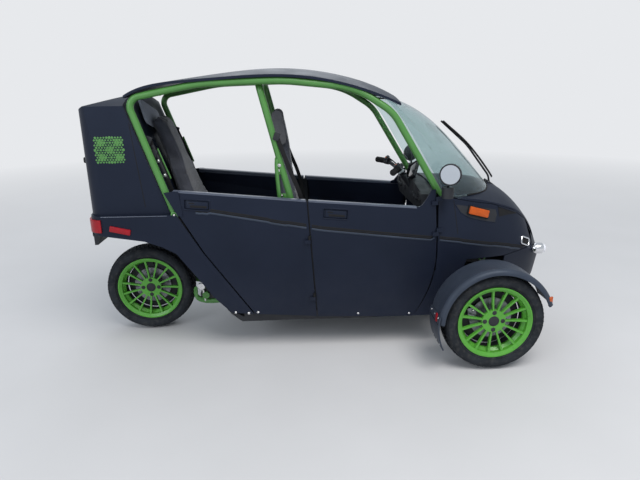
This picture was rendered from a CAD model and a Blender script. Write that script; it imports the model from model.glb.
import math

import bmesh
import bpy
from bpy.props import FloatProperty, FloatVectorProperty, IntProperty, PointerProperty
from mathutils import Matrix, Vector
from mathutils.bvhtree import BVHTree


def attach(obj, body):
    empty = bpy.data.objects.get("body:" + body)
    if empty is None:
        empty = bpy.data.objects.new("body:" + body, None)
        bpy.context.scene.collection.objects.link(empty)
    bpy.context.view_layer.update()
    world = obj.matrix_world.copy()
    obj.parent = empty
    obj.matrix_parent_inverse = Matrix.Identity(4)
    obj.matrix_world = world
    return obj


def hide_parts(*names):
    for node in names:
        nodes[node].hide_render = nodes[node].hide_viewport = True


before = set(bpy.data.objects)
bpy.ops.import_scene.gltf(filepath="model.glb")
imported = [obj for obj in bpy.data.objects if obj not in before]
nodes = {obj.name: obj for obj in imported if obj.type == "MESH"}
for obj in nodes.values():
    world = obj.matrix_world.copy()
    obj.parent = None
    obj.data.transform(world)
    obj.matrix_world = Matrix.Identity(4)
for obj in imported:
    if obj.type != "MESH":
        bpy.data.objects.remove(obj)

bl_info = {
    "name": "Three wheeled car",
    "version": (1, 0, 0),
    "blender": (4, 5, 0),
    "location": "3D View > Sidebar > Car",
    "description": "Dresses the packed solids of a two-seat three-wheeled car",
    "category": "Object",
}

RIGHT, LEFT = -1, 1
FRONT_AXLE, REAR_AXLE = 0.924, -1.108
TYRE_RADIUS = 0.283
SIDEWAYS, UP = (0, -1, 0), (0, 0, 1)
CHASSIS = ("chassis", "chassis")
FRONT_DOORS = ("door_front_right", "door_front_left")
REAR_DOORS = ("door_rear_right", "door_rear_left")
STEERING = ("steering_right", "steering_left")
BAR = ("steering_bar", "steering_bar")


# Settings

def colour(name, description, default):
    return FloatVectorProperty(
        name=name, description=description, subtype="COLOR", size=3, min=0.0, max=1.0, default=default
    )


def size(name, description, default):
    return FloatProperty(name=name, description=description, unit="LENGTH", default=default, precision=4)


def amount(name, description, default):
    return FloatProperty(name=name, description=description, default=default)


class PaintSettings(bpy.types.PropertyGroup):
    body: colour("Body", "Satin paint of the body panels", (0.0068, 0.0096, 0.0200))
    fender: colour("Fender", "Moulded fenders over the front wheels", (0.0240, 0.0310, 0.0470))
    cage: colour("Cage", "Powder coat of the tube cage and swingarm", (0.060, 0.195, 0.042))
    wheel: colour("Wheel", "Paint of the rims", (0.078, 0.310, 0.032))
    rubber: colour("Rubber", "Tyres, seals and flaps", (0.0120, 0.0145, 0.0185))
    chassis: colour("Chassis", "Coated steel of the frame and floor", (0.012, 0.0135, 0.0180))
    trim: colour("Trim", "Moulded plastic inside and out", (0.0110, 0.0125, 0.0165))
    cover: colour("Seat cover", "Coated cloth of the seats", (0.032, 0.036, 0.050))
    glass: colour("Glass", "Tint of the windscreen", (0.620, 0.730, 0.735))
    red: colour("Red lens", "Tail lamps and rear reflectors", (0.300, 0.003, 0.010))
    amber: colour("Amber lens", "Side markers", (0.520, 0.085, 0.005))
    steel: colour("Steel", "Brake discs, bolts and damper rod", (0.230, 0.238, 0.255))


class WheelSettings(bpy.types.PropertyGroup):
    tread_depth: size("Tread depth", "Height of the tread blocks", 0.007)
    tread_pitches: IntProperty(name="Tread pitches", description="Blocks round each row", default=68, min=12)
    block_gap: size("Block gap", "Gap between two blocks of a row", 0.0045)
    nut_radius: size("Nut radius", "Across-corner radius of the wheel nuts", 0.0145)


class SeatSettings(bpy.types.PropertyGroup):
    voxel: size("Voxel", "Edge length of the mesh that is inflated", 0.006)
    pressure: amount("Pressure", "Air pressure in the cloth simulation", 4.0)
    swell: size("Swell", "Furthest that a point of a pad may move", 0.016)
    shrink: size("Shrink", "How much smaller a pad starts than its solid", 0.009)


class StageSettings(bpy.types.PropertyGroup):
    floor: colour("Floor", "Plain pale floor", (0.560, 0.560, 0.575))
    sky: colour("Sky", "Plain pale background", (0.800, 0.815, 0.840))
    lens: amount("Lens", "Focal length of the camera in millimetres", 29.22)
    ambient: amount("Ambient", "Strength of the light from all round", 0.62)


# Finishes

def add_node(tree, kind, sockets=(), **settings):
    """A node in a tree, with its settings, then its links and constants."""
    node = tree.nodes.new(kind)
    for key, value in settings.items():
        setattr(node, key, value)
    for socket, value in dict(sockets).items():
        if isinstance(value, bpy.types.NodeSocket):
            tree.links.new(value, node.inputs[socket])
        else:
            node.inputs[socket].default_value = value
    return node


class Finish:
    """A material under construction, whose patterns lie on Object coordinates."""

    def __init__(self, name, base, roughness, metallic=0.0, specular=0.5):
        self.material = bpy.data.materials.new(name)
        self.material.use_nodes = True
        self.tree = self.material.node_tree
        self.shader = next(n for n in self.tree.nodes if n.type == "BSDF_PRINCIPLED")
        self.place = self.add("ShaderNodeTexCoord", {}, "Object")
        self.base = tuple(base)
        self.set("Base Color", (*self.base, 1.0))
        self.set("Roughness", roughness)
        self.set("Metallic", metallic)
        self.set("Specular IOR Level", specular)
        self.normal = None

    def set(self, socket, value):
        self.shader.inputs[socket].default_value = value
        return self

    def link(self, source, target):
        self.tree.links.new(source, target)
        return self

    def add(self, kind, sockets, output=0, **settings):
        """One output of a new node."""
        return add_node(self.tree, kind, sockets, **settings).outputs[output]

    def noise(self, scale, detail=3.0):
        return self.add("ShaderNodeTexNoise", {"Vector": self.place, "Scale": scale, "Detail": detail}, "Fac")

    def cells(self, scale, stretch=(1.0, 1.0, 1.0)):
        place = self.add("ShaderNodeMapping", {"Vector": self.place, "Scale": stretch})
        sockets = {"Vector": place, "Scale": scale}
        return self.add("ShaderNodeTexVoronoi", sockets, "Distance", feature="DISTANCE_TO_EDGE")

    def range(self, source, low, high, to_low, to_high):
        sockets = {"Value": source, "From Min": low, "From Max": high, "To Min": to_low, "To Max": to_high}
        return self.add("ShaderNodeMapRange", sockets, "Result")

    def tint(self, factor, other):
        """Mixes another colour over what the shader has so far."""
        target = self.shader.inputs["Base Color"]
        under = target.links[0].from_socket if target.links else (*self.base, 1.0)
        sockets = {"A": under, "B": (*other, 1.0), "Factor": factor}
        return self.link(self.add("ShaderNodeMix", sockets, "Result", data_type="RGBA"), target)

    def mottle(self, scale, spread, lift):
        """Lets the colour drift a little lighter in patches."""
        patches = self.range(self.noise(scale), 0.35, 0.72, 0.0, spread)
        return self.tint(patches, tuple(min(1.0, c * lift + 0.002) for c in self.base))

    def dust(self, low, high, most):
        """Road dust that thins out upwards and lies in patches."""
        height = self.range(self.add("ShaderNodeSeparateXYZ", {0: self.place}, "Z"), low, high, 0.0, 1.0)
        patches = self.range(self.noise(14.0, 6.0), 0.30, 0.70, 0.25, 1.0)
        sockets = {0: self.range(height, 0.0, 1.0, most, 0.0), 1: patches}
        return self.tint(self.add("ShaderNodeMath", sockets, operation="MULTIPLY"), (0.16, 0.15, 0.135))

    def fade(self, other, near, far):
        """Passes into another plain light colour with the distance from the middle."""
        length = self.add("ShaderNodeVectorMath", {0: self.place}, "Value", operation="LENGTH")
        glow = self.add("ShaderNodeEmission", {"Color": (*other, 1.0)})
        share = self.range(length, near, far, 0.0, 1.0)
        mixed = self.add("ShaderNodeMixShader", {0: share, 1: self.shader.outputs[0], 2: glow})
        target = next(n for n in self.tree.nodes if n.type == "OUTPUT_MATERIAL")
        return self.link(mixed, target.inputs["Surface"])

    def rough(self, scale, low, high):
        return self.link(self.range(self.noise(scale, 4.0), 0.3, 0.7, low, high), self.shader.inputs["Roughness"])

    def bump(self, source, strength, distance):
        sockets = {"Height": source, "Strength": strength, "Distance": distance}
        if self.normal:
            sockets["Normal"] = self.normal
        self.normal = self.add("ShaderNodeBump", sockets, "Normal")
        return self.link(self.normal, self.shader.inputs["Normal"])


finishes = {}


def make_finishes(paint):
    """Every material, by name; the record's slots use the same names."""
    def add(name, base, roughness, mottle=None, rough=None, grain=None, **values):
        """A finish; grain is a bump of fine noise: scale, detail, strength, distance."""
        finish = Finish(name, base, roughness, **values)
        finishes[name] = finish.material
        if mottle:
            finish.mottle(*mottle)
        if rough:
            finish.rough(*rough)
        if grain:
            finish.bump(finish.noise(*grain[:2]), *grain[2:])
        return finish

    add("panel_black", paint.body, 0.42, (2.2, 0.5, 1.5), (5.0, 0.36, 0.50), (700.0, 2.0, 0.22, 0.0004),
        specular=0.24).set("Specular Tint", (0.72, 0.82, 1.0, 1.0)).dust(0.10, 0.55, 0.05)
    add("fender_black", paint.fender, 0.46, (6.0, 0.6, 1.6), (9.0, 0.38, 0.56), (420.0, 3.0, 0.35, 0.0006),
        specular=0.36).set("Specular Tint", (0.72, 0.84, 1.0, 1.0)).dust(0.12, 0.60, 0.10)
    add("frame_green", paint.cage, 0.36, (5.0, 0.5, 1.35), (7.0, 0.30, 0.44), (260.0, 2.0, 0.18, 0.0006))
    wheel = add("wheel_green", paint.wheel, 0.32, (9.0, 0.5, 1.25), (12.0, 0.26, 0.42),
                (300.0, 2.0, 0.12, 0.0004))
    wheel.tint(wheel.range(wheel.noise(55.0, 5.0), 0.56, 0.80, 0.0, 0.35), (0.05, 0.045, 0.035))
    rubber = add("tyre_rubber", paint.rubber, 0.82, (18.0, 0.7, 1.9), (20.0, 0.72, 0.92),
                 (520.0, 3.0, 0.4, 0.0005), specular=0.25)
    rubber.tint(rubber.range(rubber.noise(45.0, 6.0), 0.48, 0.78, 0.0, 0.30), (0.095, 0.090, 0.082))
    add("seal_rubber", (0.006, 0.006, 0.007), 0.7, (30.0, 0.5, 1.6), None, (400.0, 3.0, 0.2, 0.0004),
        specular=0.25)
    add("chassis_black", paint.chassis, 0.5, (7.0, 0.6, 1.6), (11.0, 0.42, 0.66), (240.0, 4.0, 0.3, 0.0006),
        specular=0.4).dust(0.10, 0.55, 0.08)

    add("bare_steel", paint.steel, 0.34, (24.0, 0.6, 0.62), (60.0, 0.24, 0.46), (900.0, 2.0, 0.15, 0.0002),
        metallic=1.0)
    add("bolt_zinc", (0.74, 0.74, 0.75), 0.28, (60.0, 0.6, 0.7), (80.0, 0.2, 0.4), metallic=1.0)
    add("lamp_chrome", (0.80, 0.80, 0.82), 0.14, (30.0, 0.4, 0.8), (25.0, 0.08, 0.2), metallic=1.0)
    add("mirror_glass", (0.86, 0.88, 0.93), 0.04, (12.0, 0.4, 0.92), (16.0, 0.02, 0.09), metallic=1.0)
    add("mirror_dark", (0.012, 0.013, 0.016), 0.08, (14.0, 0.4, 1.6), (20.0, 0.05, 0.14))
    glass = add("screen_glass", paint.glass, 0.02, None, (9.0, 0.0, 0.05))
    glass.set("Transmission Weight", 1.0).set("IOR", 1.35)

    red = add("lamp_red", paint.red, 0.36, (26.0, 0.5, 0.55), specular=0.2)
    red.bump(red.cells(150.0, (1.0, 1.0, 1.8)), 0.5, 0.0012)
    amber = add("lamp_amber", paint.amber, 0.36, (40.0, 0.6, 0.6), specular=0.2)
    amber.bump(amber.cells(170.0), 0.5, 0.0012)
    lens = add("lamp_lens", (0.86, 0.87, 0.94), 0.08, (20.0, 0.4, 0.8))
    lens.bump(lens.cells(120.0), 0.35, 0.001)
    for lamp, coat, coat_roughness in ((red, 0.3, 0.25), (amber, 0.3, 0.25), (lens, 1.0, 0.03)):
        lamp.set("Coat Weight", coat).set("Coat Roughness", coat_roughness)

    cover = add("seat_cover", paint.cover, 0.62, (9.0, 0.7, 1.7), (13.0, 0.52, 0.74), specular=0.35)
    cover.set("Sheen Weight", 0.25).set("Sheen Roughness", 0.5)
    cover.bump(cover.range(cover.cells(330.0), 0.0, 0.12, 0.0, 1.0), 0.45, 0.0008)
    cover.bump(cover.noise(16.0), 0.25, 0.004)
    add("seat_thread", (0.075, 0.076, 0.085), 0.7, (90.0, 0.6, 1.5), None, (900.0, 3.0, 0.3, 0.0004))
    add("liner_grey", (0.30, 0.33, 0.40), 0.8, (12.0, 0.5, 1.2), None, (260.0, 3.0, 0.3, 0.0006))
    add("sill_top", (0.060, 0.072, 0.105), 0.34, (4.0, 0.5, 1.4), (8.0, 0.28, 0.40), (600.0, 2.0, 0.15, 0.0003),
        specular=0.6)
    trim = add("trim_black", paint.trim, 0.58, (8.0, 0.6, 1.8), (15.0, 0.46, 0.68), specular=0.4)
    trim.bump(trim.cells(520.0), 0.35, 0.0006)


# The slots of the record that finishes of the scene's own belong to.
SLOTS = {
    "seal_rubber": "trim_black", "sill_top": "panel_black", "bolt_zinc": "bare_steel", "lamp_amber": "lamp_red",
    "lamp_lens": "lamp_chrome", "mirror_glass": "lamp_chrome", "mirror_dark": "lamp_chrome",
    "liner_grey": "seat_cover", "seat_thread": "seat_cover",
}


# Mesh tools

def placed(name, data):
    """An object in the scene."""
    obj = bpy.data.objects.new(name, data)
    bpy.context.scene.collection.objects.link(obj)
    return obj


def piece(name, mesh, finish, body, slot=None, smooth=30.0):
    """A finished piece: object at the origin, its place in its mesh, riding on a body."""
    slot = slot or SLOTS.get(finish, finish)
    mesh.name = name
    obj = placed(name, mesh)
    mesh.materials.clear()
    mesh.materials.append(finishes[finish])
    mesh.shade_smooth()
    if smooth < 180.0:
        mesh.set_sharp_from_angle(angle=math.radians(smooth))
    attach(obj, body)
    return obj


def written(work):
    """A mesh from a work mesh, which is freed."""
    mesh = bpy.data.meshes.new("shape")
    work.to_mesh(mesh)
    work.free()
    return mesh


def joined(meshes, merge=0.0):
    """One mesh from several; with a merge distance it is made one closed skin."""
    work = bmesh.new()
    for mesh in meshes:
        work.from_mesh(mesh)
    if merge:
        bmesh.ops.remove_doubles(work, verts=work.verts, dist=merge)
        bmesh.ops.recalc_face_normals(work, faces=work.faces)
    return written(work)


def mesh_from(points, faces):
    mesh = bpy.data.meshes.new("shape")
    mesh.from_pydata([tuple(p) for p in points], [], faces)
    return joined([mesh], 1e-6)


def moved(mesh, matrix):
    mesh.transform(matrix)
    if matrix.determinant() < 0:
        mesh.flip_normals()
    return mesh


def twins(name, meshes, finish, bodies, slot=None, smooth=30.0):
    """A right-hand piece made of some meshes, and its left-hand twin."""
    mesh = joined(meshes)
    left = moved(mesh.copy(), Matrix.Scale(-1, 4, (0, 1, 0)))
    piece(f"{name}_right", mesh, finish, bodies[0], slot, smooth)
    piece(f"{name}_left", left, finish, bodies[1], slot, smooth)


def revolved(profile, segments, closed=False):
    """A mesh turned round the Y axis from (radius, y) points; a closed profile makes a ring."""
    points, faces = [], []
    count = len(profile)
    for turn in range(segments):
        angle = 2 * math.pi * turn / segments
        for radius, y in profile:
            points.append((radius * math.sin(angle), y, radius * math.cos(angle)))
    for turn in range(segments):
        here, after = turn * count, (turn + 1) % segments * count
        for k in range(count if closed else count - 1):
            n = (k + 1) % count
            faces.append((here + k, here + n, after + n, after + k))
    return mesh_from(points, faces)


def turned(profile, segments, centre, out, along=UP, closed=False):
    """A revolved mesh set on a centre, its axis along out."""
    y = Vector(out).normalized()
    x = Vector(along).cross(y)
    if x.length < 1e-6:
        x = Vector((1, 0, 0)).cross(y)
    x.normalize()
    turn = Matrix((x, y, x.cross(y))).transposed().to_4x4()
    return moved(revolved(profile, segments, closed), Matrix.Translation(centre) @ turn)


def block(length, width, height, edge):
    """A small box on its foot, its upper edges bevelled."""
    work = bmesh.new()
    bmesh.ops.create_cube(work, size=1.0)
    for v in work.verts:
        v.co = (v.co.x * length, v.co.y * width, (v.co.z + 0.5) * height)
    upper = [e for e in work.edges if all(v.co.z > height / 2 for v in e.verts)]
    bmesh.ops.bevel(work, geom=upper, offset=edge, segments=1, affect="EDGES")
    return written(work)


# Node trees for parts that repeat

class Tree:
    """A geometry tree under construction."""

    def __init__(self, name, **inputs):
        self.group = bpy.data.node_groups.new(name, "GeometryNodeTree")
        for label, side, kind in (("Geometry", "INPUT", "Geometry"),
                                  *((label, "INPUT", kind) for label, kind in inputs.items()),
                                  ("Geometry", "OUTPUT", "Geometry")):
            self.group.interface.new_socket(label, in_out=side, socket_type=f"NodeSocket{kind}")
        self.given = self.group.nodes.new("NodeGroupInput").outputs

    def add(self, kind, sockets=(), **settings):
        """A node with its links and constants."""
        return add_node(self.group, kind, sockets, **settings)

    def math(self, operation, *values):
        return self.add("ShaderNodeMath", enumerate(values), operation=operation).outputs[0]

    def vector(self, label):
        """A named vector of the points."""
        node = self.add("GeometryNodeInputNamedAttribute", {"Name": label}, data_type="FLOAT_VECTOR")
        return node.outputs["Attribute"]

    def finish(self, geometry):
        """Ends the tree with a geometry, realized."""
        whole = self.add("GeometryNodeRealizeInstances", {"Geometry": geometry})
        self.add("NodeGroupOutput", {"Geometry": whole.outputs["Geometry"]})
        return self.group

    def parts(self, sockets):
        """Ends the tree with the given part on points."""
        info = self.add("GeometryNodeObjectInfo", {"Object": self.given["Part"]})
        sockets["Instance"] = info.outputs["Geometry"]
        return self.finish(self.add("GeometryNodeInstanceOnPoints", sockets).outputs["Instances"])


def ring_tree():
    """Parts set round the Y axis: count, radius, place along the axis and first angle."""
    tree = Tree("Parts in a ring", Count="Int", Radius="Float", Offset="Float", First="Float", Part="Object")
    given = tree.given
    points = tree.add("GeometryNodePoints", {"Count": given["Count"]})
    share = tree.math("DIVIDE", tree.add("GeometryNodeInputIndex").outputs[0], given["Count"])
    angle = tree.math("ADD", tree.math("MULTIPLY", share, 2 * math.pi), given["First"])
    spot = tree.add("ShaderNodeCombineXYZ", {
        "X": tree.math("MULTIPLY", tree.math("SINE", angle), given["Radius"]),
        "Y": given["Offset"],
        "Z": tree.math("MULTIPLY", tree.math("COSINE", angle), given["Radius"]),
    })
    turn = tree.add("ShaderNodeCombineXYZ", {"Y": angle})
    place = tree.add("GeometryNodeSetPosition", {"Geometry": points.outputs[0], "Position": spot.outputs[0]})
    return tree.parts({"Points": place.outputs["Geometry"], "Rotation": turn.outputs[0]})


def points_tree():
    """Parts set on a mesh's points, their Z axis along "out" and their X axis along "along"."""
    tree = Tree("Parts on points", Scale="Float", Part="Object")
    axes = tree.add("FunctionNodeAxesToRotation", primary_axis="Z", secondary_axis="X")
    for label, socket in (("out", 0), ("along", 1)):
        tree.group.links.new(tree.vector(label), axes.inputs[socket])
    given = tree.given
    return tree.parts({"Points": given["Geometry"], "Rotation": axes.outputs[0], "Scale": given["Scale"]})


def strip_tree():
    """A strip swept along a mesh's edges, its flat side square to "out"."""
    tree = Tree("Strip along a path", Width="Float", Height="Float")
    curve = tree.add("GeometryNodeMeshToCurve", {"Mesh": tree.given["Geometry"]})
    normal = tree.add("GeometryNodeSetCurveNormal", mode="FREE")
    tree.group.links.new(curve.outputs["Curve"], normal.inputs["Curve"])
    tree.group.links.new(tree.vector("out"), normal.inputs["Normal"])
    circle = tree.add("GeometryNodeCurvePrimitiveCircle", {"Resolution": 10, "Radius": 0.5})
    size_of = tree.add("ShaderNodeCombineXYZ", {"X": tree.given["Height"], "Y": tree.given["Width"], "Z": 1.0})
    scaled = tree.add("GeometryNodeTransform", {"Geometry": circle.outputs["Curve"], "Scale": size_of.outputs[0]})
    sweep = tree.add("GeometryNodeCurveToMesh", {
        "Curve": normal.outputs["Curve"], "Profile Curve": scaled.outputs["Geometry"], "Fill Caps": True,
    })
    return tree.finish(sweep.outputs["Mesh"])


trees = {}


def grown(tree, base, values, part=None):
    """The mesh that a node tree makes from a base mesh and a part, with nothing live left."""
    helpers = [placed("holder", base)]
    given = dict(values)
    if part:
        given["Part"] = placed("sample", part)
        helpers.append(given["Part"])
    modifier = helpers[0].modifiers.new("tree", "NODES")
    modifier.node_group = tree
    for item in tree.interface.items_tree:
        if item.item_type == "SOCKET" and item.in_out == "INPUT" and item.name in given:
            modifier[item.identifier] = given[item.name]
    result = baked(helpers[0])
    for obj in helpers:
        bpy.data.objects.remove(obj)
    return result


def baked(obj):
    """The mesh that an object's modifiers make; they go."""
    graph = bpy.context.evaluated_depsgraph_get()
    result = bpy.data.meshes.new_from_object(obj.evaluated_get(graph))
    obj.modifiers.clear()
    return result


def ring_of(part, count, radius, offset, first=0.0):
    values = {"Count": count, "Radius": radius, "Offset": offset, "First": first}
    return grown(trees["ring"], bpy.data.meshes.new("empty"), values, part)


def base_mesh(points, edges=(), **rows):
    """Loose points with named vectors on them."""
    base = bpy.data.meshes.new("base")
    base.from_pydata([tuple(p) for p in points], edges, [])
    for label, vectors in rows.items():
        attribute = base.attributes.new(label, "FLOAT_VECTOR", "POINT")
        for n, vector in enumerate(vectors):
            attribute.data[n].vector = vector
    return base


def parts_at(spots, part, scale=1.0):
    """Parts at (point, out, along) spots."""
    points, out, along = zip(*spots)
    return grown(trees["points"], base_mesh(points, out=out, along=along), {"Scale": scale}, part)


def strip(run, width, height):
    """A strip along (point, out) places."""
    points, out = zip(*run)
    edges = [(n, n + 1) for n in range(len(run) - 1)]
    return grown(trees["strip"], base_mesh(points, edges, out=out), {"Width": width, "Height": height})


def belt_along(points, out, width, height):
    """A strip along points that share one way out."""
    return strip([(p, out) for p in points], width, height)


def rod(points, width):
    """A round rod or cord along points."""
    return belt_along(points, (0.31, 0.44, 0.84), width, width)


def eased(points, steps=8):
    """A smooth run through a few points."""
    points = [Vector(p) for p in points]
    ends = [points[0] * 2 - points[1], *points, points[-1] * 2 - points[-2]]
    run = []
    for a, b, c, d in zip(ends, ends[1:], ends[2:], ends[3:]):
        for k in range(steps):
            t = k / steps
            run.append((b * 2 + (c - a) * t + (a * 2 - b * 5 + c * 4 - d) * t**2
                        + (b * 3 - a - c * 3 + d) * t**3) / 2)
    return run + [points[-1]]


# Plates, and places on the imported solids. Shapes face -Y, as the right-hand side does.

def rounded(length, height, corner, inset=0.0):
    """Outline of a rounded rectangle in X and Z."""
    r = max(corner - inset, 0.0004)
    half_x, half_z = length / 2 - inset - r, height / 2 - inset - r
    return [
        (cx * half_x + r * math.cos(math.pi / 2 * (quarter + k / 4)),
         cz * half_z + r * math.sin(math.pi / 2 * (quarter + k / 4)))
        for quarter, (cx, cz) in enumerate(((1, 1), (-1, 1), (-1, -1), (1, -1))) for k in range(5)
    ]


def lofted(rings, closed=False):
    """A mesh through rings of points; the ends are filled unless the last ring meets the first."""
    count = len(rings[0])
    faces = []
    for n in range(len(rings) if closed else len(rings) - 1):
        a, b = n * count, (n + 1) % len(rings) * count
        faces += [(a + k, a + (k + 1) % count, b + (k + 1) % count, b + k) for k in range(count)]
    if not closed:
        total = count * len(rings)
        faces += [tuple(range(count)), tuple(range(total - count, total))]
    return mesh_from([p for ring in rings for p in ring], faces)


def slab(length, height, corner, thick, edge=0.001, at=(0.0, 0.0)):
    """A plate from Y = 0 to -thick with an eased front edge."""
    levels = ((0.0, 0.0), (thick - edge, 0.0), (thick - edge * 0.3, edge * 0.3), (thick, edge))
    return lofted([[(x + at[0], -depth, z + at[1]) for x, z in rounded(length, height, corner, inset)]
                   for depth, inset in levels])


def surround(length, height, corner, thick, border, edge=0.001):
    """A raised frame from Y = 0 to -thick."""
    levels = ((0.0, 0.0), (thick - edge, 0.0), (thick, edge), (thick, border - edge),
              (thick - edge, border), (0.0, border))
    return lofted([[(x, -depth, z) for x, z in rounded(length, height, corner, inset)]
                   for depth, inset in levels], closed=True)


def prism(outline, *depths):
    """A plate with an outline in X and Z, between two places along Y."""
    return lofted([[(x, y, z) for x, z in outline] for y in depths])


def stood(mesh, point, out, tilt=0.0):
    """Sets a mesh that faces -Y on a point, facing out; a tilt in degrees lowers its +X end."""
    facing = Vector((0, -1, 0)).rotation_difference(Vector(out)).to_matrix().to_4x4()
    return moved(mesh, Matrix.Translation(point) @ facing @ Matrix.Rotation(math.radians(tilt), 4, "Y"))


def plate(sizes, point, out, tilt=0.0, at=(0.0, 0.0)):
    """A slab of a length, height, corner, thickness and edge, stood on a point."""
    return stood(slab(*sizes, at=at), point, out, tilt)


class Skin:
    """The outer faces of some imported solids."""

    def __init__(self, *names):
        points, faces = [], []
        for name in names:
            first = len(points)
            points += [v.co.copy() for v in nodes[name].data.vertices]
            faces += [[first + k for k in p.vertices] for p in nodes[name].data.polygons]
        self.tree = BVHTree.FromPolygons(points, faces)

    def cast(self, start, towards):
        """Where a ray meets the solids, with the way out of them, or None."""
        towards = Vector(towards).normalized()
        point, normal, _, _ = self.tree.ray_cast(Vector(start), towards)
        if point is None:
            return None
        return point, normal if normal.dot(towards) < 0 else -normal

    def beside(self, x, z):
        """The place on the right-hand side that a side view shows at x, z."""
        return self.cast((x, -1.5, z), (0, 1, 0))

    def run(self, places):
        """The places of a side view's points, without those that miss."""
        return seen(self.beside(x, z) for x, z in places)


def seen(places):
    """The places without the rays that missed."""
    return [place for place in places if place]


NOSE = Skin("front_quarter_right", "hood_panel")
TAIL = Skin("tail_panel")
TRUNK = Skin("trunk_body")


def patch(outline, skin, lift):
    """A thin plate with an outline in side view, draped on the right-hand side."""
    work = bmesh.new()
    corners = [work.verts.new((x, 0.0, z)) for x, z in outline]
    bmesh.ops.triangulate(work, faces=[work.faces.new(corners)])
    bmesh.ops.subdivide_edges(work, edges=work.edges, cuts=5, use_grid_fill=True)
    work.verts.ensure_lookup_table()
    rim = [e for e in work.edges if e.is_boundary]
    skirt = bmesh.ops.extrude_edge_only(work, edges=rim)["geom"]
    sunk = {item for item in skirt if isinstance(item, bmesh.types.BMVert)}
    for v in work.verts:
        place = skin.beside(v.co.x, v.co.z)
        if place is None:
            raise RuntimeError(f"the patch leaves the skin at {v.co.x:.3f}, {v.co.z:.3f}")
        v.co = place[0] + place[1] * (-0.002 if v in sunk else lift)
    bmesh.ops.recalc_face_normals(work, faces=work.faces)
    return written(work)


def between(rows, x):
    """Linear interpolation in a table of (x, value)."""
    for (x0, v0), (x1, v1) in zip(rows, rows[1:]):
        if x <= x1:
            break
    return v0 + (v1 - v0) * (x - x0) / (x1 - x0)


def spread(start, end, step):
    """Evenly spaced values from start to end."""
    count = max(1, round(abs(end - start) / step))
    return [start + (end - start) * k / count for k in range(count + 1)]


def halved(inner, outer, holds):
    """Where a test that holds at the first end stops holding on the way to the second."""
    for _ in range(12):
        middle = (inner + outer) / 2
        if holds(middle):
            inner = middle
        else:
            outer = middle
    return inner


def bolt_mesh(radius):
    """A domed bolt head along +Z on a washer."""
    head = revolved([(0.0, radius * 0.75), (radius * 0.5, radius * 0.65), (radius * 0.85, radius * 0.3),
                     (radius * 0.9, 0.0), (radius * 1.3, 0.0), (radius * 1.35, -radius * 0.15),
                     (0.0, -radius * 0.15)], 14)
    return moved(head, Matrix.Rotation(math.pi / 2, 4, "X"))


def bolts(name, radius, bodies, spots):
    """Bolt heads at (point, out, along) spots, on both sides."""
    twins(f"{name}_bolts", [parts_at(spots, bolt_mesh(radius))], "bolt_zinc", bodies)


# Wheels

WHEELS = (
    ("front_right", "front_wheel_right", Vector((FRONT_AXLE, -0.676, TYRE_RADIUS)), RIGHT, 0.155),
    ("front_left", "front_wheel_left", Vector((FRONT_AXLE, 0.676, TYRE_RADIUS)), LEFT, 0.155),
    ("rear", "rear_wheel", Vector((REAR_AXLE, 0.0, TYRE_RADIUS)), RIGHT, 0.165),
)


def crown(y, half, radius):
    """Radius of the tread at a distance from the middle: the arc that the solid tyre has."""
    edge, drop = half - 0.014, 0.011
    bend = (edge**2 + drop**2) / (2 * drop)
    return radius - bend + math.sqrt(max(bend**2 - y**2, 0.0))


def side_arc(half, radius, count=9):
    """The side wall's arc, from the bead outwards, through the same three points as the solid's."""
    a, b, c = (0.2075, 0.0615), (radius - 0.045, half), (radius - 0.011, half - 0.014)
    d = 2 * (a[0] * (b[1] - c[1]) + b[0] * (c[1] - a[1]) + c[0] * (a[1] - b[1]))
    sq = [p[0] ** 2 + p[1] ** 2 for p in (a, b, c)]
    ux = (sq[0] * (b[1] - c[1]) + sq[1] * (c[1] - a[1]) + sq[2] * (a[1] - b[1])) / d
    uy = (sq[0] * (c[0] - b[0]) + sq[1] * (a[0] - c[0]) + sq[2] * (b[0] - a[0])) / d
    r = math.hypot(a[0] - ux, a[1] - uy)
    first, last = (math.atan2(p[1] - uy, p[0] - ux) for p in (a, c))
    return [
        (ux + r * math.cos(first + (last - first) * k / (count - 1)),
         uy + r * math.sin(first + (last - first) * k / (count - 1)))
        for k in range(count)
    ]


def tyre_mesh(width, wheel):
    """Carcass with ringed side walls, and a tread of five rows of blocks."""
    half, radius, depth = width / 2, TYRE_RADIUS, wheel.tread_depth
    inset = 0.0006
    arc = [(r, y - inset) for r, y in side_arc(half, radius, 13)]
    wall = []
    for k, (r, y) in enumerate(arc[:-1]):
        wall.append((r, y))
        if k in (2, 9):
            wall += [(r + 0.0012, y - 0.0016), (r + 0.0035, y - 0.0014), (r + 0.0045, y + 0.0003)]
    shoulder = (arc[-1][0] - depth * 0.5, arc[-1][1])
    floor = [(crown(y, half, radius) - depth, y) for y in (half - 0.017, 0.030, 0.012)]
    upper = [(0.1910, 0.0530), *wall, shoulder, *floor]
    profile = upper + [(crown(0, half, radius) - depth, 0.0)] + [(r, -y) for r, y in reversed(upper)]
    meshes = [revolved(profile, 128, closed=True)]
    pitch = 2 * math.pi * radius / wheel.tread_pitches
    rows = (
        (half - 0.0285, 0.024, 0.30, 0.10),
        (0.0205, 0.019, -0.45, 0.03),
        (0.0, 0.013, 0.0, 0.0),
        (-0.0205, 0.019, -0.45, -0.03),
        (0.0285 - half, 0.024, 0.30, -0.10),
    )
    for k, (offset, across, turn, camber) in enumerate(rows):
        part = block(pitch - wheel.block_gap, across, depth, 0.0009)
        part.transform(Matrix.Rotation(-camber, 4, "X") @ Matrix.Rotation(turn, 4, "Z"))
        reach = crown(abs(offset) + across / 2, half, radius) - depth - 0.0004
        meshes.append(ring_of(part, wheel.tread_pitches, reach, offset, 0.3 * k * pitch / radius))
    return joined(meshes)


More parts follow.
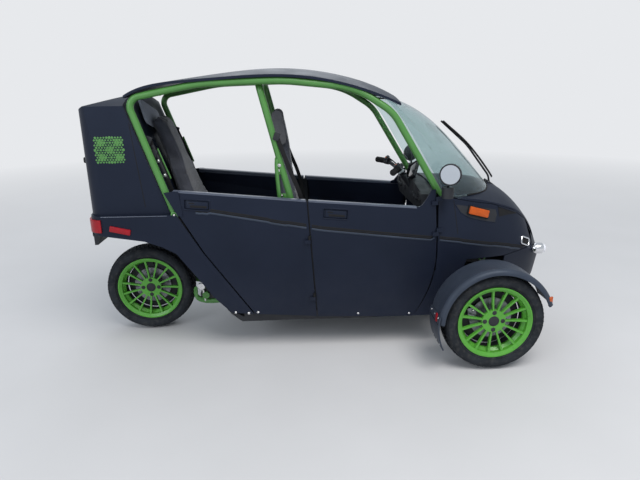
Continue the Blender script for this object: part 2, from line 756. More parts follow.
class CAR_OT_tyres(bpy.types.Operator):
    """Three tyres with ringed side walls and a block tread"""
    bl_idname = "car.tyres"
    bl_label = "Tyres"

    def execute(self, context):
        wheel = context.scene.car_wheels
        for name, body, centre, _, width in WHEELS:
            mesh = moved(tyre_mesh(width, wheel), Matrix.Translation(centre))
            tyre = piece(f"tyre_dressed_{name}", mesh, "tyre_rubber", body)
            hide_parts(f"tyre_{name}")
        return {"FINISHED"}


def nut_mesh(radius):
    """A wheel nut that points along +Y, with a rounded hexagon and a washer face."""
    rings = [(radius * 1.15, 0.0), (radius * 1.15, 0.002), (radius, 0.003), (radius, 0.010),
             (radius * 0.78, 0.0125), (radius * 0.4, 0.0132), (0.0, 0.0132)]
    mesh = revolved(rings, 12)
    for v in mesh.vertices:
        corner = round(math.atan2(v.co.x, v.co.z) / (math.pi / 6))
        if corner % 2 and math.hypot(v.co.x, v.co.z) < radius * 1.01:
            v.co.x, v.co.z = v.co.x * 0.90, v.co.z * 0.90
    return mesh


class CAR_OT_hubs(bpy.types.Operator):
    """Wheel nuts, hub caps, sleeves inside the rims and valve stems"""
    bl_idname = "car.hubs"
    bl_label = "Hubs"

    def execute(self, context):
        wheel = context.scene.car_wheels
        for name, body, centre, side, _ in WHEELS:
            place = Matrix.Translation(centre) @ Matrix.Scale(side, 4, (0, 1, 0))
            nuts = ring_of(nut_mesh(wheel.nut_radius), 4, 0.050, 0.0335)
            piece(f"wheel_nuts_{name}", moved(nuts, place), "chassis_black", body, "bare_steel")
            cap = revolved([(0.0, 0.047), (0.012, 0.0468), (0.020, 0.046), (0.0245, 0.0435), (0.0285, 0.0435),
                            (0.0296, 0.040), (0.0296, 0.027), (0.021, 0.0265), (0.021, 0.036), (0.0, 0.036)], 40)
            piece(f"hub_cap_{name}", moved(cap, place), "chassis_black", body, "trim_black")
            sleeve = revolved([(0.1815, -0.056), (0.1815, -0.036), (0.1675, -0.022), (0.1675, 0.010),
                               (0.1667, 0.010), (0.1667, -0.0225), (0.1807, -0.0365), (0.1807, -0.056)], 72, True)
            piece(f"wheel_sleeve_{name}", moved(sleeve, place), "chassis_black", body, "bare_steel")
            stem = revolved([(0.0, 0.0), (0.004, 0.0), (0.004, 0.022), (0.0055, 0.023), (0.0055, 0.031),
                             (0.004, 0.0325), (0.0, 0.0325)], 12)
            stem.transform(Matrix.Translation((0.0, 0.030, 0.180)) @ Matrix.Rotation(-0.35, 4, "X"))
            piece(f"valve_{name}", moved(stem, place @ Matrix.Rotation(0.2, 4, "Y")), "seal_rubber", body,
                  "tyre_rubber")
        return {"FINISHED"}


# Seats

def pad_mesh(node, seat):
    """A stuffed pad from a packed seat solid: shrunk, remeshed, inflated and capped."""
    pad = placed("pad", joined([nodes[node].data], 1e-5))
    remesh = pad.modifiers.new("remesh", "REMESH")
    remesh.mode = "VOXEL"
    remesh.voxel_size = seat.voxel
    shrink = pad.modifiers.new("shrink", "DISPLACE")
    shrink.strength = -seat.shrink
    shrink.mid_level = 0.0
    soften(pad, 0.6, 10)
    rest = [v.co.copy() for v in pad.data.vertices]
    cloth = pad.modifiers.new("cloth", "CLOTH")
    cloth.settings.use_pressure = True
    cloth.settings.uniform_pressure_force = seat.pressure
    cloth.settings.effector_weights.gravity = 0.0
    cloth.settings.quality = 4
    for step in range(1, 21):
        bpy.context.scene.frame_set(step)
    pad.data = baked(pad)
    bpy.context.scene.frame_set(1)
    for v, start in zip(pad.data.vertices, rest):
        shift = v.co - start
        if shift.length > seat.swell:
            v.co = start + shift.normalized() * seat.swell
    soften(pad, 0.5, 4)
    result = pad.data.copy()
    bpy.data.objects.remove(pad)
    return result


def soften(obj, factor, times):
    """Smooths an object after its other modifiers, and applies them all."""
    smooth = obj.modifiers.new("soften", "SMOOTH")
    smooth.factor = factor
    smooth.iterations = times
    obj.data = baked(obj)


def pressed(mesh, lines, width, depth):
    """Presses sewn channels into a pad along runs of points."""
    legs = [(a, b) for line in lines for a, b in zip(line, line[1:])]
    normals = [v.normal.copy() for v in mesh.vertices]
    for v, normal in zip(mesh.vertices, normals):
        nearest = 1.0
        for a, b in legs:
            run = b - a
            t = min(1.0, max(0.0, (v.co - a).dot(run) / run.length_squared))
            nearest = min(nearest, (v.co - a - run * t).length)
        if nearest < 3 * width:
            v.co -= normal * depth * math.exp(-(nearest / width) ** 2)
    return mesh


SEATS = ("front_seat_base", "front_seat_back", "rear_seat_base", "rear_seat_back")


class CAR_OT_seats(bpy.types.Operator):
    """Two stuffed seats, each a cushion and a tall back with its head restraint"""
    bl_idname = "car.seats"
    bl_label = "Seats"

    def execute(self, context):
        seat = context.scene.car_seats
        for name in SEATS:
            skin = Skin(name)
            if name.endswith("back"):
                places = [[skin.cast((2.0, y, z), (-1, 0, 0)) for y in spread(-0.16, 0.16, 0.02)]
                          for z in (0.56, 0.68, 0.80, 0.92, 1.04)]
            else:
                rear = min(v.co.x for v in nodes[name].data.vertices)
                places = [[skin.cast((rear + reach, y, 2.0), (0, 0, -1)) for y in spread(-0.17, 0.17, 0.02)]
                          for reach in (0.10, 0.18, 0.26)]
            channels = [[point for point, _ in seen(line)] for line in places]
            mesh = pressed(pad_mesh(name, seat), channels, 0.009, 0.007)
            pad = piece(f"{name}_pad", mesh, "seat_cover", "chassis", smooth=180.0)
            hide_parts(name)
        return {"FINISHED"}


# Body details

# columns: x, height of the crease that runs along the side
CREASE = ((-1.386, 0.905), (-0.700, 0.895), (0.0, 0.768), (0.660, 0.688), (0.824, 0.664),
          (1.000, 0.632), (1.146, 0.600), (1.258, 0.568), (1.332, 0.540))


def crease_run(skin, start, end, drop):
    """Places along the crease, found as the furthest point out near its drawn height."""
    run = []
    for x in spread(start, end, 0.02):
        middle = between(CREASE, x)
        found = skin.run((x, middle + dz) for dz in spread(-0.03, 0.03, 0.004))
        if found:
            top = min(found, key=lambda place: place[0].y)
            run.append(skin.beside(x, top[0].z - drop))
    return seen(run)


def screen_foot(glass, y):
    """Where the windscreen's outer face enters the hood."""
    foot = halved(1.10, 0.84, lambda z: glass.cast((2.0, y, z), (-1, 0, 0)))
    return glass.cast((2.0, y, foot), (-1, 0, 0))


def on_fender(angle, y, reach=0.3235):
    """A place on the front fender, or another distance from the axle, in degrees from ahead over the top."""
    out = Vector((math.cos(math.radians(angle)), 0.0, math.sin(math.radians(angle))))
    return Vector((FRONT_AXLE, y, TYRE_RADIUS)) + out * reach, out


class CAR_OT_lines(bpy.types.Operator):
    """Crease grooves, seams, glass seals and the caps of the doors"""
    bl_idname = "car.lines"
    bl_label = "Body lines"

    def execute(self, context):
        for name, bodies, start, end in (
            ("rear_door", REAR_DOORS, -0.700, -0.088),
            ("front_door", FRONT_DOORS, -0.058, 0.646),
            ("front_quarter", CHASSIS, 0.676, 1.285),
        ):
            skin = Skin(f"{name}_right")
            grooves = [strip(crease_run(skin, start, end, drop), 0.0085, 0.0022) for drop in (-0.007, 0.003)]
            twins(f"{name}_groove", grooves, "seal_rubber", bodies)
            bead = strip(crease_run(skin, start, end, 0.014), 0.012, 0.006)
            twins(f"{name}_bead", [bead], "fender_black", bodies, "panel_black")

        share = spread(0.0, 1.0, 0.05)
        seam = NOSE.run([(0.755 + 0.030 * t, 0.940 - 0.235 * t) for t in share])
        twins("quarter_seam", [strip(seam, 0.004, 0.0014)], "seal_rubber", CHASSIS)
        edge = TAIL.run([(x, 0.853) for x in spread(-1.225, -0.86, 0.03)])
        twins("tail_edge", [strip(edge, 0.005, 0.006)], "sill_top", CHASSIS)
        (x0, z0), (x1, z1) = (-1.025, 1.383), (-0.982, 0.899)
        seam = TRUNK.run([(x0 + (x1 - x0) * t, z0 + (z1 - z0) * t) for t in share])
        twins("trunk_seam", [strip(seam, 0.004, 0.0014)], "seal_rubber", CHASSIS)

        glass = Skin("windscreen")
        foot = [screen_foot(glass, y) for y in spread(-0.375, 0.375, 0.03)]
        piece("screen_seal_foot", strip(seen(foot), 0.010, 0.006), "seal_rubber", "chassis")
        head = [glass.cast((2.0, y, 1.452), (-1, 0, 0)) for y in spread(-0.345, 0.345, 0.03)]
        piece("screen_seal_head", strip(seen(head), 0.020, 0.010), "seal_rubber", "chassis")

        # A rubber seal fills the gap behind the front door.
        door = Skin("front_door_right")
        shut = []
        for z in spread(0.250, 0.905, 0.03):
            x = halved(0.20, -0.40, lambda x: door.beside(x, z))
            shut.append(Vector((x - 0.003, door.beside(x + 0.003, z)[0].y + 0.004, z)))
        twins("shut_seal", [belt_along(shut, SIDEWAYS, 0.0065, 0.004)], "seal_rubber", FRONT_DOORS)
        post = [point + Vector((-0.004, 0.047, 0.0)) for point in shut]
        twins("post_cover", [belt_along(post, SIDEWAYS, 0.040, 0.004)], "trim_black", CHASSIS)

        # The quarter runs on below the door's curved front edge.
        levels = []
        for z in spread(0.194, 0.600, 0.029):
            x = halved(0.30, 0.90, lambda x: door.beside(x, z)) + 0.008
            if x < 0.664:
                y = -(0.415 + 0.0108 * (0.668 - x) + 0.0643 * (z - 0.190))
                levels.append([(x, y, z), (0.669, y + 0.0002, z), (0.669, y + 0.003, z), (x, y + 0.003, z)])
        twins("quarter_foot", [lofted(levels)], "panel_black", CHASSIS)

        # The rear door's upper corner laps over the foot of the cage.
        ear = [(-0.866, 0.984), (-0.812, 0.991), (-0.786, 0.989), (-0.772, 0.850), (-0.800, 0.852)]
        twins("door_ear", [prism(ear, -0.4365, -0.4405)], "panel_black", REAR_DOORS)

        # columns: name, bodies, start x and height, end x and height
        for name, bodies, start, end in (
            ("rear_door", REAR_DOORS, (-0.817, 0.9893), (-0.089, 0.9205)),
            ("front_door", FRONT_DOORS, (-0.072, 0.9197), (0.540, 0.8672)),
        ):
            skin = Skin(f"{name}_right")
            rings = []
            for x in spread(start[0], end[0], 0.05):
                z = between((start, end), x)
                y = skin.beside(x, z - 0.007)[0].y
                rings.append([(x, y + dy, z + dz) for dy, dz in (
                    (-0.0006, -0.005), (0.0004, 0.0008), (0.005, 0.0032), (0.039, 0.0032),
                    (0.0455, -0.001), (0.0455, -0.022), (0.0130, -0.022), (0.0130, -0.005))])
            twins(f"{name}_cap", [lofted(rings)], "sill_top", bodies)
        return {"FINISHED"}


class CAR_OT_handles(bpy.types.Operator):
    """Door handles: a raised surround, a tray in the recess and a pull with its finger slot"""
    bl_idname = "car.handles"
    bl_label = "Door handles"

    def execute(self, context):
        for name, bodies, x, z in (
            ("rear_door", REAR_DOORS, -0.691, 0.911),
            ("front_door", FRONT_DOORS, 0.077, 0.843),
        ):
            place = (*Skin(f"{name}_right").beside(x, z), 5.0)
            twins(f"{name}_tray", [plate((0.141, 0.057, 0.009, 0.004), *place)], "panel_black", bodies)
            rim = stood(surround(0.150, 0.066, 0.012, 0.0142, 0.007, 0.0016), *place)
            pull = plate((0.118, 0.040, 0.006, 0.0115, 0.0018), *place, at=(0.003, -0.002))
            twins(f"{name}_handle", [rim, pull], "panel_black", bodies)
            slot = plate((0.092, 0.013, 0.004, 0.0122, 0.0004), *place, at=(0.009, -0.009))
            lip = plate((0.030, 0.006, 0.002, 0.0130, 0.0006), *place, at=(-0.030, 0.008))
            twins(f"{name}_slot", [slot, lip], "seal_rubber", bodies)
        return {"FINISHED"}


class CAR_OT_lamps(bpy.types.Operator):
    """Side markers, reflectors, the headlamps, the mirror faces and the latch"""
    bl_idname = "car.lamps"
    bl_label = "Lamps and mirrors"

    def execute(self, context):
        niche = [(0.770, 0.872), (0.862, 0.858), (0.960, 0.842), (1.024, 0.826), (1.034, 0.790),
                 (1.022, 0.752), (0.930, 0.772), (0.850, 0.796), (0.800, 0.826)]
        twins("marker_niche", [patch(niche, NOSE, 0.0012)], "trim_black", CHASSIS, smooth=40.0)
        rim = NOSE.run([*niche[4:], niche[0]])
        twins("niche_lip", [strip(rim, 0.007, 0.006)], "panel_black", CHASSIS)
        place = (*NOSE.beside(0.907, 0.824), 15.0)
        twins("side_marker", [plate((0.128, 0.044, 0.005, 0.016, 0.004), *place)], "lamp_amber", CHASSIS)
        twins("marker_base", [plate((0.140, 0.054, 0.008, 0.008, 0.002), *place)], "seal_rubber", CHASSIS)

        scoop = [(1.042, 0.842), (1.120, 0.814), (1.190, 0.782), (1.120, 0.786), (1.050, 0.782)]
        twins("scoop", [patch(scoop, NOSE, 0.0012)], "seal_rubber", CHASSIS, smooth=40.0)
        lip = NOSE.run([scoop[0], (1.081, 0.829), scoop[1], (1.155, 0.799), scoop[2]])
        twins("scoop_lip", [strip(lip, 0.009, 0.010)], "panel_black", CHASSIS)

        place = (*NOSE.beside(1.240, 0.612), 18.0)
        ring = stood(surround(0.078, 0.052, 0.012, 0.010, 0.008, 0.002), *place)
        twins("lamp_bezel", [ring], "lamp_chrome", CHASSIS)
        twins("bezel_back", [plate((0.066, 0.040, 0.008, 0.003), *place)], "seal_rubber", CHASSIS)

        lamp = ((1.330, -0.282, 0.556), (1, 0, 0))
        pod = turned([(0.0, 0.034), (0.028, 0.034), (0.031, 0.036), (0.0335, 0.033), (0.0345, 0.022),
                      (0.0335, 0.004), (0.029, -0.016), (0.020, -0.030), (0.0, -0.036)], 40, *lamp)
        twins("headlamp_pod", [pod], "lamp_chrome", CHASSIS, smooth=60.0)
        for side in ("right", "left"):
            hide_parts(f"headlamp_{side}")
        dome = turned([(0.0, 0.060), (0.010, 0.0585), (0.019, 0.054), (0.026, 0.046), (0.029, 0.035),
                       (0.0, 0.034)], 40, *lamp)
        twins("headlamp_lens", [dome], "lamp_lens", CHASSIS, smooth=60.0)

        out = Vector((-0.42, -0.9, 0.1)).normalized()
        face = Vector((0.703, -0.500, 1.061)) + out * 0.008
        disc = turned([(0.0, 0.0014), (0.052, 0.0014), (0.0535, 0.0), (0.0, 0.0)], 48, face, out)
        twins("mirror_face", [disc], "mirror_glass", CHASSIS)
        hoop = turned([(0.0525, 0.0), (0.0525, 0.0022), (0.0560, 0.0036), (0.0598, 0.0020), (0.0598, 0.0)],
                      48, face, out, closed=True)
        twins("mirror_rim", [hoop], "trim_black", CHASSIS)

        red = plate((0.116, 0.032, 0.004, 0.009, 0.003), *TAIL.beside(-1.128, 0.774), 13.0)
        twins("tail_marker", [red], "lamp_red", CHASSIS)
        red = plate((0.024, 0.046, 0.004, 0.006, 0.002), *on_fender(172.5, -0.730))
        twins("flap_marker", [red], "lamp_red", STEERING)
        tip = plate((0.030, 0.050, 0.005, 0.008, 0.003), (1.203, -0.764, 0.412), (0.55, -0.83, 0.0))
        twins("fender_marker", [tip], "lamp_amber", STEERING)

        place = Skin("trunk_lid").cast((-2.0, -0.262, 1.150), (1, 0, 0))
        knob = turned([(0.0, 0.020), (0.012, 0.0195), (0.0165, 0.016), (0.0175, 0.004), (0.023, 0.003),
                       (0.024, 0.0), (0.0, 0.0)], 28, *place)
        piece("lid_latch", knob, "trim_black", "luggage_lid")
        return {"FINISHED"}


class CAR_OT_trunk_pattern(bpy.types.Operator):
    """A plain green pattern of small hexagons on both sides of the trunk"""
    bl_idname = "car.trunk_pattern"
    bl_label = "Trunk pattern"

    def execute(self, context):
        middle_x, middle_z, pitch = -1.141, 1.218, 0.0150
        groups = {}
        for row in range(-5, 6):
            for column in range(-5, 6):
                x = middle_x + (column + (0.5 if row % 2 else 0.0)) * pitch
                z = middle_z + row * pitch * 0.88
                far = max(abs(x - middle_x), abs(z - middle_z)) / (5 * pitch)
                place = TRUNK.beside(x, z)
                if place and far <= 1.05:
                    scale = (1.0, 0.86, 0.66)[(row * row + column * column) // 2 % 3]
                    groups.setdefault(scale, []).append((*place, UP))
        hexagon = lofted([[(r * math.cos(math.pi / 3 * k), r * math.sin(math.pi / 3 * k), z) for k in range(6)]
                          for r, z in ((0.0084, 0.0), (0.0084, 0.0006), (0.0079, 0.0009))])
        plates = [parts_at(spots, hexagon, scale) for scale, spots in groups.items()]
        twins("trunk_pattern", plates, "frame_green", CHASSIS)
        return {"FINISHED"}


class CAR_OT_cage_parts(bpy.types.Operator):
    """Brackets, belts and bolts on the cage, and the bolts along the sills"""
    bl_idname = "car.cage_parts"
    bl_label = "Cage parts"

    def execute(self, context):
        leg = rod(eased([(-0.2440, -0.352, 1.150), (-0.2460, -0.356, 1.080), (-0.2360, -0.356, 0.915)]), 0.026)
        web = plate((0.070, 0.026, 0.004, 0.006), (-0.200, -0.346, 0.935), SIDEWAYS)
        gusset = plate((0.048, 0.070, 0.010, 0.006), (-0.226, -0.349, 1.096), SIDEWAYS, -14.0)
        twins("hoop_fork", [leg, web, gusset], "frame_green", CHASSIS)

        foot = plate((0.040, 0.046, 0.008, 0.007, 0.002), (-0.822, -0.425, 0.852), SIDEWAYS, 20.0)
        hook = plate((0.020, 0.036, 0.006, 0.005), (-0.812, -0.425, 0.822), SIDEWAYS, 24.0)
        bow = rod(eased([(0.957, -0.330, 0.552), (0.960, -0.330, 0.516), (0.976, -0.330, 0.504),
                         (0.992, -0.330, 0.516), (0.995, -0.330, 0.552)], 4), 0.010)
        twins("cage_foot", [foot, hook, bow], "frame_green", CHASSIS)

        # The rear doors' barrels on the hoop wear black sleeves.
        low, high = Vector((-0.0477, -0.4400, 0.345)), Vector((-0.0713, -0.4584, 0.700))
        sleeve = [(0.0, -0.0002), (0.0070, -0.0002), (0.0070, 0.0222), (0.0, 0.0222)]
        sleeves = [turned(sleeve, 20, spot, high - low, (1, 0, 0)) for spot in (low, high)]
        twins("hinge_sleeves", sleeves, "seal_rubber", CHASSIS)

        stay = rod(eased([(-0.575, -0.140, 0.232), (-0.640, -0.140, 0.218), (-0.735, -0.140, 0.218),
                          (-0.793, -0.140, 0.244), (-0.800, -0.140, 0.300)]), 0.034)
        piece("swing_stay", stay, "frame_green", "chassis")
        link = rod([(-0.742, -0.150, 0.228), (-0.756, -0.150, 0.330)], 0.022)
        eye = turned([(0.0, 0.014), (0.020, 0.014), (0.024, 0.010), (0.024, -0.010), (0.020, -0.014),
                      (0.0, -0.014)], 32, (-0.757, -0.150, 0.322), SIDEWAYS)
        piece("damper_link", joined([link, eye]), "bolt_zinc", "chassis")
        wedge = [(-1.405, 0.660), (-1.352, 0.775), (-1.345, 0.740), (-1.385, 0.600), (-1.405, 0.600)]
        piece("plate_wedge", prism(wedge, -0.105, 0.105), "trim_black", "chassis")

        straps = [belt_along(eased(points), (0, -1, 0.05), 0.026, 0.003) for points in (
            [(-0.236, -0.366, 1.262), (-0.176, -0.366, 1.095), (-0.108, -0.358, 0.900), (-0.060, -0.300, 0.560),
             (-0.055, -0.235, 0.430)],
            [(-0.935, -0.352, 1.262), (-0.880, -0.352, 1.120), (-0.820, -0.345, 0.930), (-0.640, -0.270, 0.520)],
        )]
        twins("belts", straps, "seal_rubber", CHASSIS, "seat_cover")
        anchors = [plate((0.034, 0.044, 0.006, 0.012, 0.003), spot, SIDEWAYS, 20.0)
                   for spot in ((-0.240, -0.360, 1.270), (-0.940, -0.352, 1.262), (-0.915, -0.352, 1.190))]
        rail = belt_along([(-0.925, -0.352, 1.235), (-0.862, -0.352, 1.050)], SIDEWAYS, 0.022, 0.010)
        twins("belt_anchors", [*anchors, rail], "trim_black", CHASSIS)
        stay = rod([(-0.896, -0.350, 1.215), (-0.840, -0.350, 1.050)], 0.012)
        twins("belt_stay", [stay], "frame_green", CHASSIS)

        bolts("cage", 0.0075, CHASSIS, [(p, SIDEWAYS, UP) for p in (
            (-0.230, -0.3665, 1.112), (-0.238, -0.358, 1.082), (-0.178, -0.352, 0.936), (-0.222, -0.352, 0.936),
            (-0.896, -0.3665, 1.150), (-0.868, -0.3665, 1.070), (-0.822, -0.432, 0.856))])
        for name, bodies, solids, places in (
            ("front_door", FRONT_DOORS, ("front_door_right",), ((0.211, 0.225), (0.520, 0.214))),
            ("sill", CHASSIS, ("tail_panel", "floor_tub"), ((-0.517, 0.251), (-0.440, 0.244))),
            ("rear_door", REAR_DOORS, ("rear_door_right",), ((-0.385, 0.248),)),
        ):
            bolts(name, 0.0065, bodies, [(*place, UP) for place in Skin(*solids).run(places)])
        return {"FINISHED"}


class CAR_OT_running_gear(bpy.types.Operator):
    """Damper spring, brake calipers, splash shields and the rolled edges of the fenders"""
    bl_idname = "car.running_gear"
    bl_label = "Running gear"

    def execute(self, context):
        foot, head = Vector((-0.733, -0.060, 0.282)), Vector((-0.806, -0.060, 0.560))
        axis = (head - foot).normalized()
        y = Vector((0, 1, 0))
        across = axis.cross(y)
        turns, steps = 7, 16
        coil = []
        for k in range(turns * steps + 1):
            angle = 2 * math.pi * k / steps
            middle = foot + axis * (0.090 + 0.150 * k / (turns * steps))
            coil.append(middle + (across * math.cos(angle) + y * math.sin(angle)) * 0.032)
        piece("damper_spring", rod(coil, 0.009), "bare_steel", "chassis")
        cup = [(0.0, 0.0), (0.038, 0.0), (0.038, 0.006), (0.026, 0.010), (0.0, 0.010)]
        cups = [turned(cup, 32, foot + axis * reach, out) for reach, out in ((0.086, axis), (0.246, -axis))]
        piece("spring_cups", joined(cups), "bolt_zinc", "chassis")

        spot = on_fender(165.0, -0.632, 0.112)[0]
        calipers = [plate((0.052, 0.086, 0.012, 0.052, 0.006), spot, SIDEWAYS, -15.0),
                    plate((0.060, 0.030, 0.008, 0.042, 0.004), spot + Vector((0.030, 0.034, 0.0)), SIDEWAYS)]
        twins("caliper", calipers, "bare_steel", STEERING)
        shield = revolved([(0.0, 0.001), (0.150, 0.001), (0.1642, 0.004), (0.1652, 0.003), (0.151, -0.001),
                           (0.0, -0.001)], 64)
        front = moved(shield.copy(), Matrix.Translation((FRONT_AXLE, -0.645, TYRE_RADIUS)))
        twins("front_shield", [front], "chassis_black", STEERING)
        rear = moved(shield, Matrix.Translation((REAR_AXLE, 0.030, TYRE_RADIUS)))
        piece("rear_shield", rear, "chassis_black", "chassis")
        bolts("caliper", 0.006, STEERING,
              [(spot + Vector((0, -0.052, dz)), SIDEWAYS, UP) for dz in (-0.024, 0.024)])

        edge = [on_fender(angle, -0.7775, 0.2925) for angle in spread(21.0, 177.0, 4.0)]
        twins("fender_edge", [strip(edge, 0.007, 0.010)], "fender_black", STEERING)
        seam = [on_fender(177.6, y) for y in spread(-0.772, -0.602, 0.02)]
        twins("flap_seam", [strip(seam, 0.006, 0.003)], "seal_rubber", STEERING, "tyre_rubber")
        rivets = [(*on_fender(angle, y), (0, 1, 0)) for y in (-0.750, -0.688, -0.626) for angle in (172.0, 200.0)]
        twins("flap_rivets", [parts_at(rivets, bolt_mesh(0.005))], "bolt_zinc", STEERING)
        return {"FINISHED"}


class CAR_OT_controls(bpy.types.Operator):
    """Grips, levers, switches, cables, instruments, wiper and head pads"""
    bl_idname = "car.controls"
    bl_label = "Controls"

    def execute(self, context):
        self.handlebar()
        self.dashboard()
        self.fittings()
        return {"FINISHED"}

    def handlebar(self):
        rake = math.radians(38.0)
        axis = Vector((-math.sin(rake), 0.0, math.cos(rake)))
        centre = Vector((0.545, 0.0, 0.985)) + axis * 0.046
        end = centre + axis * 0.030 + Vector((-0.072, -0.290, 0.0))
        bend = centre + axis * 0.034 + Vector((-0.016, -0.170, 0.0))
        along = (bend - end).normalized()

        def near(reach, *shift):
            """A point beside the grip's axis."""
            return end + along * reach + Vector(shift)

        rings = [(0.0, -0.003), (0.012, -0.003), (0.0195, 0.0)]
        for k in range(11):
            y = 0.004 + 0.0082 * k
            rings += [(0.0190, y), (0.0175, y + 0.0012), (0.0175, y + 0.0058), (0.0190, y + 0.007)]
        rings += [(0.0215, 0.098), (0.0215, 0.102), (0.0, 0.102)]
        twins("grip", [turned(rings, 28, end, along)], "seal_rubber", BAR, "tyre_rubber")
        pod = turned([(0.0, 0.104), (0.018, 0.104), (0.0225, 0.108), (0.0225, 0.138), (0.018, 0.142),
                      (0.0, 0.142)], 28, end, along)
        back = (-0.7, 0, 0.7)
        clamp = plate((0.036, 0.030, 0.006, 0.020, 0.004), near(0.124, 0, 0, 0.012), back)
        twins("switch_pod", [pod, clamp], "trim_black", BAR)
        buttons = [plate((0.010, 0.007, 0.002, 0.003, 0.001), near(0.124, -0.0125, 0, 0.026), back, at=at)
                   for at in ((-0.009, 0.006), (0.008, -0.005))]
        twins("switches", buttons, "lamp_amber", BAR)
        lever = eased([near(0.118, 0.020, 0, 0.002), near(0.085, 0.044, 0, 0.0), near(0.010, 0.040, 0, -0.004),
                       near(0.0, 0.034, -0.004, -0.006)], 5)
        twins("lever", [belt_along(lever, (0.2, 0, 1.0), 0.013, 0.007)], "bare_steel", BAR)
        cable = eased([near(0.128, 0.018, 0, 0.0), bend + Vector((-0.002, 0.030, 0.024)),
                       centre + Vector((-0.004, -0.070, 0.022)), centre + Vector((0.024, -0.014, -0.036))])
        twins("cable", [rod(cable, 0.007)], "seal_rubber", BAR, "tyre_rubber")
        clamp = plate((0.060, 0.056, 0.008, 0.026, 0.005), centre - axis * 0.006, axis)
        piece("bar_clamp", clamp, "trim_black", "steering_bar")
        across = axis.cross(Vector((0, 1, 0)))
        screws = [(centre + axis * 0.020 + Vector((0.0, y, 0.0)) + across * dz, axis, (0, 1, 0))
                  for y in (-0.020, 0.020) for dz in (-0.018, 0.018)]
        piece("clamp_screws", parts_at(screws, bolt_mesh(0.005)), "bolt_zinc", "steering_bar")

    def dashboard(self):
        place = ((0.612, 0.0, 1.005), (-0.94, 0, 0.34))
        rim = stood(surround(0.176, 0.112, 0.012, 0.020, 0.010, 0.003), *place)
        back = plate((0.174, 0.110, 0.012, 0.014), *place)
        stalk = rod([(0.618, 0.0, 0.900), (0.614, 0.0, 1.000)], 0.030)
        piece("display", joined([rim, back, stalk]), "trim_black", "chassis")
        piece("display_face", plate((0.158, 0.094, 0.005, 0.0155, 0.0006), *place), "mirror_dark", "chassis")

        face, rearward = 0.584, (-1, 0, 0)
        knob = [(0.0, 0.016), (0.011, 0.0155), (0.013, 0.012), (0.0135, 0.0), (0.0, 0.0)]
        controls = [turned(knob, 24, (face, y, 0.885), rearward) for y in (-0.255, -0.205, 0.205, 0.255)]
        controls += [plate((0.024, 0.034, 0.004, 0.008, 0.003), (face, y, 0.885), rearward)
                     for y in (-0.140, -0.105, 0.105, 0.140)]
        vents = (-0.310, 0.310)
        controls += [stood(surround(0.074, 0.046, 0.010, 0.008, 0.006, 0.002), (face, y, 0.905), rearward)
                     for y in vents]
        controls += [plate((0.064, 0.004, 0.001, 0.006, 0.001), (face, y, 0.905), rearward, at=(0.0, dz))
                     for y in vents for dz in (-0.012, 0.0, 0.012)]
        piece("dash_controls", joined(controls), "trim_black", "chassis")

    def fittings(self):
        arm = eased([(1.098, -0.040, 0.935), (1.082, -0.040, 0.982), (0.934, -0.040, 1.164),
                     (0.764, -0.040, 1.312)])
        blade = [p + Vector((0.008, -0.014, 0.006)) for p in arm[6:]]
        piece("wiper_blade", belt_along(blade, (0.65, 0.0, 0.76), 0.010, 0.012), "seal_rubber", "chassis")
        cowl = plate((0.110, 0.050, 0.010, 0.012, 0.003), (1.098, -0.040, 0.918), (0.55, 0, 0.83))
        piece("wiper_base", cowl, "trim_black", "chassis")
        pad = plate((0.300, 0.150, 0.030, 0.012, 0.005), (-1.006, 0.0, 1.370), (0.95, 0.0, 0.31))
        piece("rear_pad", pad, "liner_grey", "chassis")
        point = Skin("front_seat_back").beside(-0.232, 1.300)[0]
        oval = plate((0.066, 0.205, 0.033, 0.010, 0.004), point, SIDEWAYS, -8.0)
        twins("head_pad", [oval], "seat_thread", CHASSIS)


# Stage

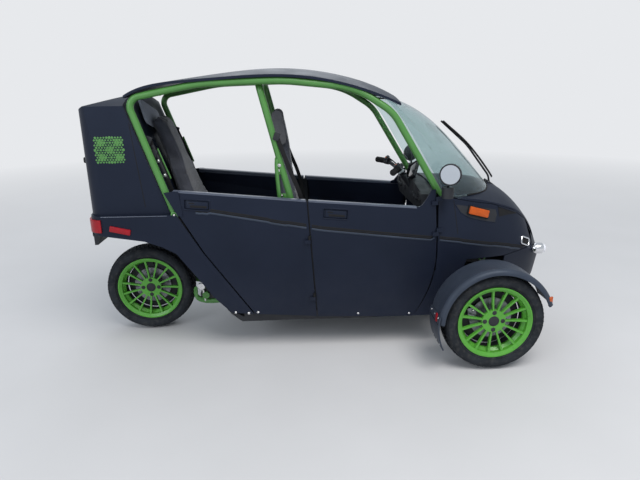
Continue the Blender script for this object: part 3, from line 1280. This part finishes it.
class CAR_OT_stage(bpy.types.Operator):
    """Camera, lamps, floor and background"""
    bl_idname = "car.stage"
    bl_label = "Stage"

    def execute(self, context):
        stage = context.scene.car_stage
        scene = context.scene
        scene.view_settings.view_transform = "Standard"
        camera = placed("camera", bpy.data.cameras.new("camera"))
        camera.data.sensor_width = 36.0
        camera.data.lens = stage.lens
        camera.data.clip_end = 200.0
        yaw, pitch, roll = 0.0445, 0.2878, -0.0144
        ahead = Vector((math.sin(yaw) * math.cos(pitch), math.cos(yaw) * math.cos(pitch), -math.sin(pitch)))
        right = Vector((math.cos(yaw), -math.sin(yaw), 0.0))
        up = right.cross(ahead)
        right, up = right * math.cos(roll) + up * math.sin(roll), up * math.cos(roll) - right * math.sin(roll)
        turn = Matrix((right, up, -ahead)).transposed().to_4x4()
        camera.matrix_world = Matrix.Translation((-0.138, -3.277, 1.533)) @ turn
        scene.camera = camera

        corners = [(-40, -40, 0), (40, -40, 0), (40, 40, 0), (-40, 40, 0)]
        floor = placed("floor", mesh_from(corners, [(0, 1, 2, 3)]))
        ground = Finish("floor_pale", stage.floor, 0.75, specular=0.3)
        ground.mottle(1.4, 0.5, 1.08).bump(ground.noise(60.0, 4.0), 0.1, 0.002)
        ground.fade(stage.sky, 1.2, 10.0)
        floor.data.materials.append(ground.material)

        world = bpy.data.worlds.new("sky")
        scene.world = world
        world.use_nodes = True
        tree = world.node_tree
        tree.nodes.clear()
        seen_sky = add_node(tree, "ShaderNodeBackground", {"Color": (*stage.sky, 1.0)})
        light_sky = add_node(tree, "ShaderNodeBackground",
                             {"Color": (0.86, 0.93, 1.0, 1.0), "Strength": stage.ambient})
        path = add_node(tree, "ShaderNodeLightPath").outputs
        rays = {0: path["Is Camera Ray"], 1: path["Is Transmission Ray"]}
        either = add_node(tree, "ShaderNodeMath", rays, operation="MAXIMUM")
        mix = add_node(tree, "ShaderNodeMixShader",
                       {0: either.outputs[0], 1: light_sky.outputs[0], 2: seen_sky.outputs[0]})
        add_node(tree, "ShaderNodeOutputWorld", {"Surface": mix.outputs[0]})

        for name, place, aim, width, power, shade in (
            ("key", (1.5, -3.5, 6.0), (0.0, 0.0, 0.6), 4.0, 310.0, (1.0, 0.97, 0.93)),
            ("fill", (-4.5, -5.0, 3.5), (-0.3, 0.0, 0.6), 4.0, 120.0, (0.90, 0.95, 1.0)),
            ("back", (0.0, 5.0, 5.0), (0.0, 0.0, 0.8), 5.0, 90.0, (0.92, 0.96, 1.0)),
        ):
            lamp = bpy.data.lights.new(name, "AREA")
            lamp.shape = "DISK"
            lamp.size = width
            lamp.energy = power
            lamp.color = shade
            light = placed(name, lamp)
            light.location = place
            light.rotation_euler = (Vector(aim) - Vector(place)).to_track_quat("-Z", "Y").to_euler()
        return {"FINISHED"}


class CAR_OT_finishes(bpy.types.Operator):
    """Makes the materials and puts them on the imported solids"""
    bl_idname = "car.finishes"
    bl_label = "Finishes"

    def execute(self, context):
        make_finishes(context.scene.car_paint)
        trees.update(ring=ring_tree(), points=points_tree(), strip=strip_tree())
        for node in nodes.values():
            for slot in node.material_slots:
                slot.material = finishes[slot.material.name.split(".")[0]]
        return {"FINISHED"}


class CAR_PT_panel(bpy.types.Panel):
    """Lists the settings and the steps"""
    bl_label = "Three wheeled car"
    bl_idname = "CAR_PT_panel"
    bl_space_type = "VIEW_3D"
    bl_region_type = "UI"
    bl_category = "Car"

    def draw(self, context):
        for group in SETTINGS:
            settings = getattr(context.scene, group)
            for key in settings.__annotations__:
                self.layout.prop(settings, key)
        for step in STEPS:
            self.layout.operator(step.bl_idname)


SETTINGS = {
    "car_paint": PaintSettings,
    "car_wheels": WheelSettings,
    "car_seats": SeatSettings,
    "car_stage": StageSettings,
}
STEPS = (
    CAR_OT_stage, CAR_OT_finishes, CAR_OT_tyres, CAR_OT_hubs, CAR_OT_seats, CAR_OT_lines, CAR_OT_handles,
    CAR_OT_lamps, CAR_OT_trunk_pattern, CAR_OT_cage_parts, CAR_OT_running_gear, CAR_OT_controls,
)


def register():
    for name, group in SETTINGS.items():
        bpy.utils.register_class(group)
        setattr(bpy.types.Scene, name, PointerProperty(type=group))
    for step in STEPS:
        bpy.utils.register_class(step)
    bpy.utils.register_class(CAR_PT_panel)


def unregister():
    bpy.utils.unregister_class(CAR_PT_panel)
    for step in reversed(STEPS):
        bpy.utils.unregister_class(step)
    for name, group in SETTINGS.items():
        delattr(bpy.types.Scene, name)
        bpy.utils.unregister_class(group)


def main():
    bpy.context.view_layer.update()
    register()
    for step in STEPS:
        space, operation = step.bl_idname.split(".")
        getattr(getattr(bpy.ops, space), operation)()


if __name__ == "__main__":
    main()
